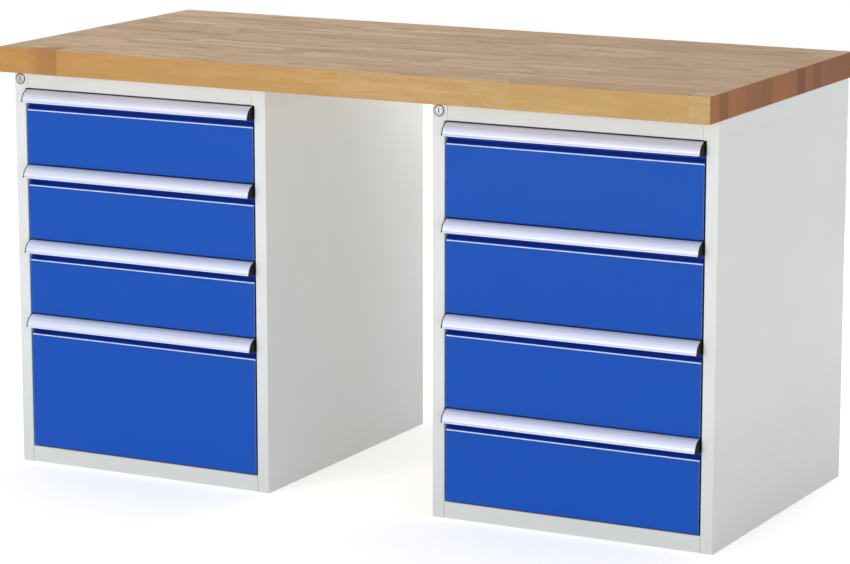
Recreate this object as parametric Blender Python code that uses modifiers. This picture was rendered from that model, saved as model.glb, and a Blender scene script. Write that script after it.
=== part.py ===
"""Workbench: a beech worktop on two sheet-steel drawer cabinets.

Each cabinet is a carcass of folded sheets with four drawers on telescopic slides, and a central
lock whose plug lifts a locking bar behind the left post. Units are metres, +Z is up, the front
faces -Y, and the origin is on the floor under the middle of the worktop.
"""

import math

import bmesh
import bpy
from mathutils import Matrix, Vector

# Worktop and overall size
WORKTOP_LENGTH = 1.500
WORKTOP_DEPTH = 0.700
WORKTOP_THICKNESS = 0.050
WORKTOP_CHAMFER = 0.0015
BENCH_HEIGHT = 0.840
FRONT_OVERHANG = 0.050
SIDE_INSET = 0.002

# Cabinet carcass
CABINET_WIDTH = 0.570
CABINET_DEPTH = 0.640
POST_WIDTH = 0.025
POST_DEPTH = 0.018
TOP_RAIL_HEIGHT = 0.036
BOTTOM_RAIL_HEIGHT = 0.032
RAIL_HEAD_WIDTH = 0.0055
FLANGE = 0.020
TOP_PANEL_LIP = 0.010
BASE_LIP = 0.012
CARCASS_SHEET = 0.0015
GAP = 0.0003
SETBACK = 0.0001

# Drawers, from the top one down
DRAWER_HEIGHTS = {"left": (0.150, 0.150, 0.150, 0.270), "right": (0.180, 0.180, 0.180, 0.180)}
DRAWER_GAP = 0.0025
DRAWER_SHEET = 0.0012
FRONT_THICKNESS = 0.0177
FRONT_BEND_DROP = 0.041
RECESS_DEPTH = 0.009
TRAY_DEPTH = 0.565
TRAY_FLOOR_RISE = 0.010
TRAY_TOP_DROP = 0.028
TRAY_SHEET = 0.001

# Handle extrusion
HANDLE_CAP = 0.002
HANDLE_RADIUS = 0.0265
HANDLE_START_ANGLE = math.radians(12)
HANDLE_END_ANGLE = math.radians(80)
HANDLE_WALL = 0.0018
HANDLE_FLANGE = 0.0020
HANDLE_LEG = 0.024
HANDLE_STEP = 0.0005
BEAD_RADIUS = 0.0017
ARC_SEGMENTS = 14

# Telescopic slides: distances inwards from the cabinet's outer side
SLIDE_RISE = 0.050
SLIDE_SHEET = 0.0012
SLIDE_FRONT = 0.020
SLIDE_LENGTH = 0.560
CABINET_MEMBER = (0.0250, 0.0365, 0.0225)
MIDDLE_MEMBER = (0.0274, 0.0360, 0.0195)
DRAWER_MEMBER = (0.0305, 0.0383, 0.0150)
TRAY_INSET = 0.0380
UPRIGHT_FRONTS = (0.030, 0.540)
UPRIGHT_WIDTH = 0.030

# Central lock
LOCK_INSET = 0.0135
LOCK_DROP = 0.0185
ROSETTE_RADIUS = 0.011
ROSETTE_PROUD = 0.002
BARREL_RADIUS = 0.00925
BARREL_DEPTH = 0.019
PLUG_RADIUS = 0.0064
PLUG_CLEARANCE = 0.0003
PLUG_PROUD = 0.0012
KEY_SLOT = (0.0016, 0.0030, 0.0070)
CAM_REACH = 0.013
BAR_WIDTH = 0.010
BAR_INSET = 0.0085
BAR_DEPTH_POSITION = 0.0225
BAR_THICKNESS = 0.002
BAR_TAB = (0.0055, 0.014)

HALF_WIDTH = CABINET_WIDTH / 2
CABINET_TOP = BENCH_HEIGHT - WORKTOP_THICKNESS - GAP
OPENING_TOP = BENCH_HEIGHT - WORKTOP_THICKNESS - TOP_RAIL_HEIGHT
OPENING_BOTTOM = BOTTOM_RAIL_HEIGHT
OPENING_WIDTH = CABINET_WIDTH - 2 * POST_WIDTH
FRONT_WIDTH = OPENING_WIDTH - 2 * DRAWER_GAP
FRONT_PLANE = -WORKTOP_DEPTH / 2 + FRONT_OVERHANG
CABINET_CENTRE = WORKTOP_LENGTH / 2 - SIDE_INSET - HALF_WIDTH

# Turns a drawn outline so that its plane is the named one and its extrusion runs across it
PLANES = {
    "XY": Matrix.Identity(4),
    "XZ": Matrix.Rotation(math.pi / 2, 4, "X"),
    "YZ": Matrix.Rotation(math.pi / 2, 4, "Z") @ Matrix.Rotation(math.pi / 2, 4, "X"),
}

# Name: colour (linear), roughness, metallic
FINISHES = {
    "beech": ((0.56, 0.34, 0.17), 0.45, 0.0),
    "grey_paint": ((0.68, 0.69, 0.66), 0.45, 0.0),
    "blue_paint": ((0.025, 0.105, 0.47), 0.40, 0.0),
    "tray_paint": ((0.62, 0.63, 0.61), 0.45, 0.0),
    "aluminium": ((0.66, 0.67, 0.71), 0.35, 1.0),
    "zinc_steel": ((0.55, 0.56, 0.57), 0.40, 1.0),
    "chrome": ((0.80, 0.80, 0.80), 0.15, 1.0),
}


def clear_scene():
    for obj in list(bpy.data.objects):
        bpy.data.objects.remove(obj, do_unlink=True)


def new_collection(name):
    collection = bpy.data.collections.new(name)
    bpy.context.scene.collection.children.link(collection)
    return collection


def new_material(name, colour, roughness, metallic):
    material = bpy.data.materials.new(name)
    material.use_nodes = True
    shader = material.node_tree.nodes["Principled BSDF"]
    shader.inputs["Base Color"].default_value = (*colour, 1.0)
    shader.inputs["Roughness"].default_value = roughness
    shader.inputs["Metallic"].default_value = metallic
    return material


clear_scene()
PARTS = new_collection("workbench_with_drawers")
CUTTERS = new_collection("cutters")
MATERIALS = {name: new_material(name, *values) for name, values in FINISHES.items()}


def add_part(name, mesh, finish, parent):
    part = bpy.data.objects.new(name, mesh)
    part.parent = parent
    mesh.materials.append(MATERIALS[finish])
    PARTS.objects.link(part)
    return part


def add_empty(name, location, parent=None):
    empty = bpy.data.objects.new(name, None)
    empty.location = location
    empty.parent = parent
    PARTS.objects.link(empty)
    return empty


def apply_boolean(part, operation, mesh):
    """Joins a mesh to a part or cuts it away. The mesh is in the part's own frame."""
    helper = bpy.data.objects.new(f"{part.name}_{operation.lower()}_{len(part.modifiers)}", mesh)
    helper.parent = part
    helper.hide_render = True
    helper.display_type = "WIRE"
    CUTTERS.objects.link(helper)
    modifier = part.modifiers.new(operation.lower(), "BOOLEAN")
    modifier.operation = operation
    modifier.solver = "EXACT"
    modifier.object = helper


def mesh_from(bm, name):
    bmesh.ops.recalc_face_normals(bm, faces=bm.faces)
    mesh = bpy.data.meshes.new(name)
    bm.to_mesh(mesh)
    bm.free()
    return mesh


def block(name, low, high):
    """A box between two corners."""
    low, high = Vector(low), Vector(high)
    place = Matrix.Translation((low + high) / 2) @ Matrix.Diagonal((*(high - low), 1.0))
    bm = bmesh.new()
    bmesh.ops.create_cube(bm, size=1.0, matrix=place)
    return mesh_from(bm, name)


def outline_solid(name, outline, plane, start, end):
    """A closed flat outline drawn in a plane and extruded from start to end across it."""
    curve = bpy.data.curves.new(name, "CURVE")
    curve.dimensions = "2D"
    curve.fill_mode = "BOTH"
    curve.extrude = (end - start) / 2
    spline = curve.splines.new("POLY")
    spline.points.add(len(outline) - 1)
    spline.use_cyclic_u = True
    for point, (across, along) in zip(spline.points, outline):
        point.co = (across, along, 0.0, 1.0)
    helper = bpy.data.objects.new(name, curve)
    CUTTERS.objects.link(helper)
    evaluated = helper.evaluated_get(bpy.context.evaluated_depsgraph_get())
    bm = bmesh.new()
    bm.from_mesh(bpy.data.meshes.new_from_object(evaluated))
    bpy.data.objects.remove(helper, do_unlink=True)
    bmesh.ops.remove_doubles(bm, verts=bm.verts, dist=1e-6)
    middle = (start + end) / 2
    if plane == "XZ":
        middle = -middle
    bmesh.ops.translate(bm, verts=bm.verts, vec=(0.0, 0.0, middle))
    bm.transform(PLANES[plane])
    return mesh_from(bm, name)


def folded(path, thickness):
    """The closed outline of a sheet bent along a path, with its thickness on the path's left."""
    points = [Vector(point) for point in path]
    normals = []
    for first, second in zip(points, points[1:]):
        run = (second - first).normalized()
        normals.append(Vector((-run.y, run.x)))
    befores = [normals[0]] + normals
    afters = normals + [normals[-1]]
    inner = []
    for point, before, after in zip(points, befores, afters):
        inner.append(point + (before + after) * thickness / (1 + before.dot(after)))
    return [tuple(point) for point in points + inner[::-1]]


def inwards(hand, outline):
    """Maps distances from a cabinet's outer side to X, for its left (-1) or right (+1) side."""
    return [(hand * (HALF_WIDTH - inset), along) for inset, along in outline]


def channel(member, rise, faces_out=False):
    """The section of a slide member: a C of (nearest inset, farthest inset, half height)."""
    near, far, half = member
    if faces_out:
        path = [(near, rise - half), (far, rise - half), (far, rise + half), (near, rise + half)]
    else:
        path = [(far, rise + half), (near, rise + half), (near, rise - half), (far, rise - half)]
    return folded(path, SLIDE_SHEET)


def arc(centre, radius, start, end, segments):
    """Points on an arc, counted from start to end angle, both included."""
    points = []
    for i in range(segments + 1):
        angle = start + (end - start) * i / segments
        points.append((centre[0] + radius * math.cos(angle), centre[1] + radius * math.sin(angle)))
    return points


# Worktop


def make_worktop():
    low = (-WORKTOP_LENGTH / 2, -WORKTOP_DEPTH / 2, BENCH_HEIGHT - WORKTOP_THICKNESS)
    high = (WORKTOP_LENGTH / 2, WORKTOP_DEPTH / 2, BENCH_HEIGHT)
    worktop = add_part("worktop", block("worktop", low, high), "beech", None)
    bevel = worktop.modifiers.new("chamfer", "BEVEL")
    bevel.width = WORKTOP_CHAMFER
    bevel.segments = 2


# Carcass


def make_side(cabinet, prefix, hand, has_lock):
    """A side sheet with its front post, rear flange, foot flange, sill, uprights and rails."""
    side_name = f"{prefix}_{'left' if hand < 0 else 'right'}_side"
    path = [(FLANGE, CABINET_DEPTH), (0, CABINET_DEPTH), (0, 0), (POST_WIDTH, 0)]
    path.append((POST_WIDTH, POST_DEPTH))
    outline = inwards(hand, folded(path, CARCASS_SHEET))
    side = add_part(
        side_name, outline_solid(side_name, outline, "XY", 0, CABINET_TOP), "grey_paint", cabinet
    )
    overlap = CARCASS_SHEET / 3
    for name, near, far, low, high in (
        ("foot", CARCASS_SHEET - overlap, FLANGE, (CARCASS_SHEET - overlap, 0),
         (CABINET_DEPTH - CARCASS_SHEET + overlap, CARCASS_SHEET)),
        ("sill", CARCASS_SHEET - overlap, POST_WIDTH - CARCASS_SHEET + overlap,
         (CARCASS_SHEET - overlap, OPENING_BOTTOM - 2 * CARCASS_SHEET),
         (POST_DEPTH - SETBACK, OPENING_BOTTOM - CARCASS_SHEET)),
        ("head", POST_WIDTH - overlap, POST_WIDTH + RAIL_HEAD_WIDTH, (SETBACK, OPENING_TOP),
         (CARCASS_SHEET - SETBACK, CABINET_TOP - GAP)),
    ):
        ends = sorted(hand * (HALF_WIDTH - inset) for inset in (near, far))
        corners = ((ends[0], *low), (ends[1], *high))
        apply_boolean(side, "UNION", block(f"{side_name}_{name}", *corners))
    add_uprights(side, hand)
    add_slide_rails(side, prefix, hand)
    if has_lock:
        hole = BARREL_RADIUS + GAP
        centre = (hand * (HALF_WIDTH - LOCK_INSET), BENCH_HEIGHT - WORKTOP_THICKNESS - LOCK_DROP)
        circle = arc(centre, hole, 0, 2 * math.pi, 40)[:-1]
        cutter = outline_solid(f"{side_name}_hole", circle, "XZ", -0.005, 0.005)
        apply_boolean(side, "DIFFERENCE", cutter)


def add_uprights(side, hand):
    near = CARCASS_SHEET * 2 / 3
    far = CABINET_MEMBER[0] + GAP
    for index, front in enumerate(UPRIGHT_FRONTS):
        back = front + UPRIGHT_WIDTH
        path = [(near, front), (far, front), (far, back), (near, back)]
        outline = inwards(hand, folded(path, CARCASS_SHEET))
        name = f"{side.name}_upright_{index + 1}"
        upright = outline_solid(name, outline, "XY", OPENING_BOTTOM + 0.004, OPENING_TOP - 0.004)
        apply_boolean(side, "UNION", upright)


def add_slide_rails(side, prefix, hand):
    for index, low, _ in drawer_cells(prefix):
        outline = inwards(hand, channel(CABINET_MEMBER, low + SLIDE_RISE))
        name = f"{side.name}_rail_{index}"
        rail = outline_solid(name, outline, "XZ", SLIDE_FRONT, SLIDE_FRONT + SLIDE_LENGTH)
        apply_boolean(side, "UNION", rail)


def make_back(cabinet, prefix):
    reach = HALF_WIDTH - CARCASS_SHEET - 0.0005
    back = CABINET_DEPTH - CARCASS_SHEET - GAP
    mesh = block(
        f"{prefix}_back",
        (-reach, back - CARCASS_SHEET, CARCASS_SHEET + 0.0005),
        (reach, back, CABINET_TOP - 0.001),
    )
    add_part(f"{prefix}_back", mesh, "grey_paint", cabinet)


def make_top_rail(cabinet, prefix):
    """The channel across the front, above the drawers."""
    path = [(FLANGE, CABINET_TOP), (0, CABINET_TOP), (0, OPENING_TOP), (FLANGE, OPENING_TOP)]
    reach = HALF_WIDTH - POST_WIDTH - RAIL_HEAD_WIDTH - GAP
    outline = folded(path, CARCASS_SHEET)
    mesh = outline_solid(f"{prefix}_top_rail", outline, "YZ", -reach, reach)
    add_part(f"{prefix}_top_rail", mesh, "grey_paint", cabinet)


def make_base(cabinet, prefix):
    """The floor sheet, which runs out to the side sheets behind the posts. Its front is a rail."""
    rear = CABINET_DEPTH - 2 * CARCASS_SHEET - 0.001
    path = [(rear, BASE_LIP), (rear, OPENING_BOTTOM), (0, OPENING_BOTTOM), (0, 0), (BASE_LIP, 0)]
    reach = HALF_WIDTH - POST_WIDTH - 2 * GAP
    mesh = outline_solid(f"{prefix}_base", folded(path, CARCASS_SHEET), "YZ", -reach, reach)
    base = add_part(f"{prefix}_base", mesh, "grey_paint", cabinet)
    wide_reach = HALF_WIDTH - CARCASS_SHEET - GAP
    low = OPENING_BOTTOM - CARCASS_SHEET + SETBACK
    high = OPENING_BOTTOM - SETBACK
    for hand in (-1, 1):
        ends = sorted((hand * (reach - 0.005), hand * wide_reach))
        corners = ((ends[0], POST_DEPTH + GAP, low), (ends[1], rear - 0.002, high))
        apply_boolean(base, "UNION", block(f"{prefix}_base_side", *corners))


def make_top_panel(cabinet, prefix):
    """The sheet that closes the carcass under the worktop."""
    front = FLANGE + 2 * GAP
    rear = CABINET_DEPTH - 2 * CARCASS_SHEET - 0.001
    lip = CABINET_TOP - TOP_PANEL_LIP
    path = [(rear, lip), (rear, CABINET_TOP), (front, CABINET_TOP), (front, lip)]
    reach = HALF_WIDTH - CARCASS_SHEET - GAP
    mesh = outline_solid(f"{prefix}_top_panel", folded(path, CARCASS_SHEET), "YZ", -reach, reach)
    add_part(f"{prefix}_top_panel", mesh, "grey_paint", cabinet)


# Drawers


def drawer_cells(prefix):
    """Number, low and high Z of each drawer's space, from the top down."""
    cells = []
    high = OPENING_TOP - (OPENING_TOP - OPENING_BOTTOM - sum(DRAWER_HEIGHTS[prefix])) / 2
    for index, height in enumerate(DRAWER_HEIGHTS[prefix], start=1):
        cells.append((index, high - height, high))
        high -= height
    return cells


def make_front(drawer, name, height):
    """A folded pan whose top edge steps back behind the handle."""
    low = DRAWER_GAP / 2
    top = height - DRAWER_GAP / 2
    bend = top - FRONT_BEND_DROP
    lid = top - HANDLE_FLANGE - GAP
    wall = DRAWER_SHEET
    outer = [(FRONT_THICKNESS, low), (0, low), (0, bend), (RECESS_DEPTH, bend + RECESS_DEPTH)]
    outer += [(RECESS_DEPTH, lid), (FRONT_THICKNESS, lid)]
    inside_back = FRONT_THICKNESS + 0.001
    slant = wall * math.tan(math.pi / 8)
    inner = [(inside_back, low + wall), (wall, low + wall), (wall, bend - slant)]
    inner += [(RECESS_DEPTH + wall, bend + RECESS_DEPTH - slant), (RECESS_DEPTH + wall, lid - wall)]
    inner += [(inside_back, lid - wall)]
    half = FRONT_WIDTH / 2
    mesh = outline_solid(f"{name}_front", outer, "YZ", -half, half)
    front = add_part(f"{name}_front", mesh, "blue_paint", drawer)
    hollow = outline_solid(f"{name}_front_hollow", inner, "YZ", -half + wall, half - wall)
    apply_boolean(front, "DIFFERENCE", hollow)


def handle_outline(top):
    """The handle's section: a top flange, a hood curving down to a beaded lip, and a leg."""
    start, end = HANDLE_START_ANGLE, HANDLE_END_ANGLE
    centre = (HANDLE_RADIUS * math.sin(start), top - HANDLE_RADIUS * math.cos(start))
    first = math.pi / 2 + start
    last = math.pi / 2 + end
    step_angle = first + math.radians(7)
    outer = arc(centre, HANDLE_RADIUS - HANDLE_STEP, first, step_angle, 2)
    outer += arc(centre, HANDLE_RADIUS, step_angle, last, ARC_SEGMENTS)
    tip_x, tip_z = outer[-1]
    bead_centre = (tip_x + 0.0002, tip_z - 0.0021)
    groove = [(tip_x + 0.0007, tip_z - 0.0004)]
    bead = arc(bead_centre, BEAD_RADIUS, math.radians(130), math.radians(370), 10)
    inner = arc(centre, HANDLE_RADIUS - HANDLE_WALL, last, first, ARC_SEGMENTS)
    under = top - HANDLE_FLANGE
    leg_back = RECESS_DEPTH - GAP
    leg_front = leg_back - HANDLE_FLANGE
    rear = FRONT_THICKNESS - 0.0012
    outline = [(rear, top)] + [(0.001, top)] + outer + groove + bead + inner[:-1]
    outline += [(leg_front, under - 0.0002), (leg_front, top - HANDLE_LEG)]
    outline += [(leg_back, top - HANDLE_LEG), (leg_back, under), (rear, under)]
    return outline


def make_handle(drawer, name, height):
    half = FRONT_WIDTH / 2 - HANDLE_CAP
    outline = handle_outline(height - DRAWER_GAP / 2)
    mesh = outline_solid(f"{name}_handle", outline, "YZ", -half, half)
    add_part(f"{name}_handle", mesh, "aluminium", drawer)


def make_tray(drawer, name, height):
    """An open box of thin sheet with the slides' drawer members along its sides."""
    half = HALF_WIDTH - TRAY_INSET
    front = FRONT_THICKNESS + 2 * GAP
    low = TRAY_FLOOR_RISE
    high = height - TRAY_TOP_DROP
    place = Matrix.Translation((0, front + TRAY_DEPTH / 2, (low + high) / 2))
    size = Matrix.Diagonal((2 * half, TRAY_DEPTH, high - low, 1.0))
    bm = bmesh.new()
    bmesh.ops.create_cube(bm, size=1.0, matrix=place @ size)
    lids = [face for face in bm.faces if face.normal.z > 0.5]
    bmesh.ops.delete(bm, geom=lids, context="FACES_ONLY")
    mesh = bpy.data.meshes.new(f"{name}_tray")
    bm.to_mesh(mesh)
    bm.free()
    tray = add_part(f"{name}_tray", mesh, "tray_paint", drawer)
    shell = tray.modifiers.new("sheet", "SOLIDIFY")
    shell.thickness = TRAY_SHEET
    shell.offset = -1.0
    shell.use_even_offset = True
    for hand in (-1, 1):
        outline = inwards(hand, channel(DRAWER_MEMBER, SLIDE_RISE, faces_out=True))
        member = outline_solid(f"{name}_member", outline, "XZ", front + 0.002, SLIDE_LENGTH)
        apply_boolean(tray, "UNION", member)


def make_middle_members(drawer, name):
    for hand, side in ((-1, "left"), (1, "right")):
        outline = inwards(hand, channel(MIDDLE_MEMBER, SLIDE_RISE))
        slide_name = f"{name}_slide_{side}"
        ends = (SLIDE_FRONT + 0.002, SLIDE_FRONT + SLIDE_LENGTH - 0.020)
        mesh = outline_solid(slide_name, outline, "XZ", *ends)
        add_part(slide_name, mesh, "zinc_steel", drawer)


def make_drawers(cabinet, prefix):
    for index, low, high in drawer_cells(prefix):
        name = f"{prefix}_drawer_{index}"
        drawer = add_empty(f"{name}_origin", (0, 0, low), cabinet)
        make_front(drawer, name, high - low)
        make_handle(drawer, name, high - low)
        make_tray(drawer, name, high - low)
        make_middle_members(drawer, name)


# Central lock


def make_lock(cabinet, prefix):
    """A cylinder lock in the left post, with its axis along Y."""
    height = BENCH_HEIGHT - WORKTOP_THICKNESS - LOCK_DROP
    axis = add_empty(f"{prefix}_lock_axis", (LOCK_INSET - HALF_WIDTH, 0, height), cabinet)
    make_lock_housing(axis, prefix)
    make_lock_plug(axis, prefix)
    make_lock_bar(cabinet, prefix, height)


def turned(part, profile):
    """Gives a part the shape of a profile of (radius, Y) points turned about the Y axis."""
    bm = bmesh.new()
    points = [bm.verts.new((radius, along, 0.0)) for radius, along in profile]
    for first, second in zip(points, points[1:]):
        bm.edges.new((first, second))
    if profile[0][0] > 0:
        bm.edges.new((points[-1], points[0]))
    bm.to_mesh(part.data)
    bm.free()
    screw = part.modifiers.new("turn", "SCREW")
    screw.axis = "Y"
    screw.steps = 40
    screw.render_steps = 40
    screw.use_merge_vertices = True
    screw.merge_threshold = 0.00001
    screw.use_normal_calculate = True


def make_lock_housing(axis, prefix):
    bore = PLUG_RADIUS + PLUG_CLEARANCE
    chamfer = ROSETTE_PROUD / 3
    profile = [
        (bore, BARREL_DEPTH),
        (bore, -ROSETTE_PROUD),
        (ROSETTE_RADIUS - chamfer, -ROSETTE_PROUD),
        (ROSETTE_RADIUS, -ROSETTE_PROUD + chamfer),
        (ROSETTE_RADIUS, -GAP),
        (BARREL_RADIUS, -GAP),
        (BARREL_RADIUS, BARREL_DEPTH),
    ]
    mesh = bpy.data.meshes.new(f"{prefix}_lock_housing")
    turned(add_part(f"{prefix}_lock_housing", mesh, "chrome", axis), profile)


def make_lock_plug(axis, prefix):
    """The turning plug, with a key slot in front and a cam behind that points down."""
    rear = BARREL_DEPTH + 0.001
    profile = [(0, -PLUG_PROUD), (PLUG_RADIUS, -PLUG_PROUD), (PLUG_RADIUS, rear), (0, rear)]
    mesh = bpy.data.meshes.new(f"{prefix}_lock_plug")
    plug = add_part(f"{prefix}_lock_plug", mesh, "chrome", axis)
    turned(plug, profile)
    width, depth, height = KEY_SLOT
    slot = block(
        f"{prefix}_key_slot",
        (-width / 2, -PLUG_PROUD - 0.001, -height / 2),
        (width / 2, -PLUG_PROUD + depth, height / 2),
    )
    apply_boolean(plug, "DIFFERENCE", slot)
    half = PLUG_RADIUS * 0.7
    cam_end = arc((0, -CAM_REACH + half), half, math.pi, 2 * math.pi, 10)
    outline = [(half, half), (-half, half)] + cam_end
    cam = outline_solid(f"{prefix}_cam", outline, "XZ", rear - 0.0005, rear + 0.0015)
    apply_boolean(plug, "UNION", cam)


def make_lock_bar(cabinet, prefix, lock_height):
    """A flat bar that the lock's cam lifts, with a tab beside each drawer."""
    near = BAR_INSET
    far = BAR_INSET + BAR_WIDTH
    tab_reach, tab_height = BAR_TAB
    top = lock_height - CAM_REACH - 0.002
    bottom = OPENING_BOTTOM + 0.030
    outline = [(near, bottom), (far, bottom)]
    for _, low, _ in reversed(drawer_cells(prefix)):
        tab = low + SLIDE_RISE + 0.035
        outline += [(far, tab), (far + tab_reach, tab)]
        outline += [(far + tab_reach, tab + tab_height), (far, tab + tab_height)]
    outline += [(far, top), (near, top)]
    mesh = outline_solid(
        f"{prefix}_lock_bar",
        inwards(-1, outline),
        "XZ",
        BAR_DEPTH_POSITION,
        BAR_DEPTH_POSITION + BAR_THICKNESS,
    )
    add_part(f"{prefix}_lock_bar", mesh, "zinc_steel", cabinet)


def make_cabinet(prefix, centre):
    cabinet = add_empty(f"{prefix}_cabinet_origin", (centre, FRONT_PLANE, 0))
    make_side(cabinet, prefix, -1, has_lock=True)
    make_side(cabinet, prefix, 1, has_lock=False)
    make_back(cabinet, prefix)
    make_top_rail(cabinet, prefix)
    make_base(cabinet, prefix)
    make_top_panel(cabinet, prefix)
    make_drawers(cabinet, prefix)
    make_lock(cabinet, prefix)


make_worktop()
make_cabinet("left", -CABINET_CENTRE)
make_cabinet("right", CABINET_CENTRE)
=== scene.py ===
"""Looks of the workbench with drawers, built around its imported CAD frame.

Sheet-metal pieces are folded sheets with rounded bends, drawn as sections and extruded with
softened ends. Every finish is procedural and reads the piece's own coordinates in metres.
"""

import math

import bmesh
import bpy
from mathutils import Matrix, Vector


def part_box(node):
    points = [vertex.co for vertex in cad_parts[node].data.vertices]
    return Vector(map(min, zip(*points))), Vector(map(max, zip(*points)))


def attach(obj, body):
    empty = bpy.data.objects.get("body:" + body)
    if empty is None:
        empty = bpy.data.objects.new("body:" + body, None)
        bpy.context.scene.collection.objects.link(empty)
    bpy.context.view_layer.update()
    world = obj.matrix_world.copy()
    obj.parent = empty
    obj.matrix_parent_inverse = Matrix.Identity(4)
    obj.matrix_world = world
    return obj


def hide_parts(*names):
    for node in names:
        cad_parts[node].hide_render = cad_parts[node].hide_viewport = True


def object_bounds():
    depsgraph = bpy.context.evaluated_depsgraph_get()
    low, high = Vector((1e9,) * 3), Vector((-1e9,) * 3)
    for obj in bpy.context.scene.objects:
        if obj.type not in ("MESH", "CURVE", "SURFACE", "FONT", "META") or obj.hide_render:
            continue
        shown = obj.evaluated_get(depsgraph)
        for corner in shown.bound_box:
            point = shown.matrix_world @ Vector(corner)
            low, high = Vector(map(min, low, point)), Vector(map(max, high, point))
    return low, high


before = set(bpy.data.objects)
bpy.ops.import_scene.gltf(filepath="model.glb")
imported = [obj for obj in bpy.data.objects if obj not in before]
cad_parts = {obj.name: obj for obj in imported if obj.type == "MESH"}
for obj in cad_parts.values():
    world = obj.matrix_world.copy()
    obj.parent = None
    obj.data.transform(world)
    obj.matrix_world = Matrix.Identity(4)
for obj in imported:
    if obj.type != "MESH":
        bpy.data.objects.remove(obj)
cad_low, cad_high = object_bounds()

# Measures read from the CAD, in metres as all others; both cabinets share them
side_low, side_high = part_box("left_left_side")
FRONT_PLANE = side_low.y
HALF_WIDTH = (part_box("left_right_side")[1].x - side_low.x) / 2
CABINET_DEPTH = side_high.y - side_low.y
CABINET_TOP = side_high.z
OPENING_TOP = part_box("left_top_rail")[0].z
OPENING_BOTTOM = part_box("left_base")[1].z
front_low, front_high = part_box("left_drawer_1_front")
FRONT_WIDTH = front_high.x - front_low.x

# Sheet metal
SHEET = 0.0015
DRAWER_SHEET = 0.0010
BEND_RADIUS = 0.0022
EDGE = 0.0003
SEAM = 0.0004
GAP = 0.0003

# Edges that bend by more than this stay sharp
SHARP = math.radians(50)
SHARP_CUT = math.radians(40)
SHARP_TURNED = math.radians(35)

# Carcass
POST_WIDTH = 0.025
POST_DEPTH = 0.018
FLANGE = 0.020
HEAD_WIDTH = 0.0055
HEAD_EDGE = 0.00002
BASE_LIP = 0.012
BASE_REAR_GAP = 0.001
FLOOR_STRIP_OVERLAP = 0.004
FLOOR_STRIP_SETBACK = 0.0001
FLOOR_STRIP_REAR_GAP = 0.002
BACK_EDGE = 0.0002
RIVET_COUNT = 8
RIVET_MARGIN = 0.045
RIVET_HEAD = (0.0036, 0.28)
UPRIGHT_FRONTS = (0.030, 0.540)
UPRIGHT_WIDTH = 0.030
UPRIGHT_BEND = 0.002
UPRIGHT_END_GAP = 0.004
UPRIGHT_SLOT_PITCH = 0.025
UPRIGHT_SLOT_SHIFT = 0.0065
UPRIGHT_SLOT_HALF_WIDTH = 0.0016
UPRIGHT_SLOT_HALF_HEIGHT = 0.0055
UPRIGHT_SLOT_MARGIN = 0.012
UPRIGHT_SLOT_CUT = 0.004

# Drawers
DRAWER_GAP = 0.0025
FRONT_THICKNESS = 0.0177
FRONT_BEND_DROP = 0.041
FRONT_INSET = 0.0005
FRONT_RADII = (0.0015, 0.0018, 0.0032, 0.0030, 0.0015, 0.0015)
FRONT_EDGE = 0.0013
RECESS_DEPTH = 0.009
TRAY_DEPTH = 0.565
TRAY_FLOOR_RISE = 0.010
TRAY_TOP_DROP = 0.028
TRAY_HEM = 0.006
TRAY_HEM_DROP = 0.004
TRAY_INSET = 0.0380
TRAY_RADII = (0, 0.0012, 0.0015, 0.002, 0.002, 0.0015, 0.0012, 0)
TRAY_EDGE = 0.0001
TRAY_WALL_RADIUS = 0.0013
TRAY_WALL_FOOT = 0.012
TRAY_WALL_GAP = 0.0002
TRAY_CORNER_DROP = 0.0003

# Divider slots in the trays' sides: rows up the side, slots along it
SLOT_ROW_RISE = 0.018
SLOT_ROW_PITCH = 0.030
SLOT_ROW_MARGIN = 0.020
SLOT_START = 0.032
SLOT_PITCH = 0.0167
SLOT_END_MARGIN = 0.05
SLOT_HALF_WIDTH = 0.001
SLOT_HEIGHT = 0.016
SLOT_EDGE = 0.0002
SLOT_CUT_INSIDE = 0.0030
SLOT_CUT_OUTSIDE = 0.0010

# Handle extrusion
HANDLE_CAP = 0.0022
HANDLE_RADIUS = 0.0247
HANDLE_START_ANGLE = math.radians(12)
HANDLE_END_ANGLE = math.radians(80)
HANDLE_WALL = 0.0018
HANDLE_FLANGE = 0.0020
HANDLE_LEG = 0.024
HANDLE_LEG_STEP = 0.0002
HANDLE_DIP = 0.0015
HANDLE_DIP_SLOPE = (0.0010, 0.0022)
HANDLE_REAR_SETBACK = 0.0012
HANDLE_EDGE = 0.00015

# A fine step in the hood's face: depth, start after the hood's own, end and restart after that
HANDLE_STEP = 0.0007
HANDLE_STEP_START = math.radians(7)
HANDLE_STEP_END = math.radians(1.6)
HANDLE_STEP_AFTER = math.radians(1.7)

# The hood's lip: centre from its tip, radius, first and last angle in degrees, segments
LIP_GROOVE = ((0.0003, -0.0010), 0.0010, 75, -60, 6)
LIP_BEAD = ((0.0003, -0.0024), 0.0015, 128, 370, 18)
CAP_BEAD_POINTS = 12
CAP_FOOT = 0.001
CAP_GAP = 0.0001
CAP_EDGE = 0.0004

# Telescopic slides: nearest inset, farthest inset and half height of each member
SLIDE_RISE = 0.050
SLIDE_SHEET = 0.0012
SLIDE_BEND = 0.0018
SLIDE_FRONT = 0.020
SLIDE_LENGTH = 0.560
MIDDLE_FRONT = 0.022
MIDDLE_REAR = 0.560
SCREW_HEAD = (0.0032, 0.14)
CABINET_MEMBER = (0.0253, 0.0365, 0.0225)
MIDDLE_MEMBER = (0.0274, 0.0360, 0.0195)
DRAWER_MEMBER = (0.0305, 0.0378, 0.0150)

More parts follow.
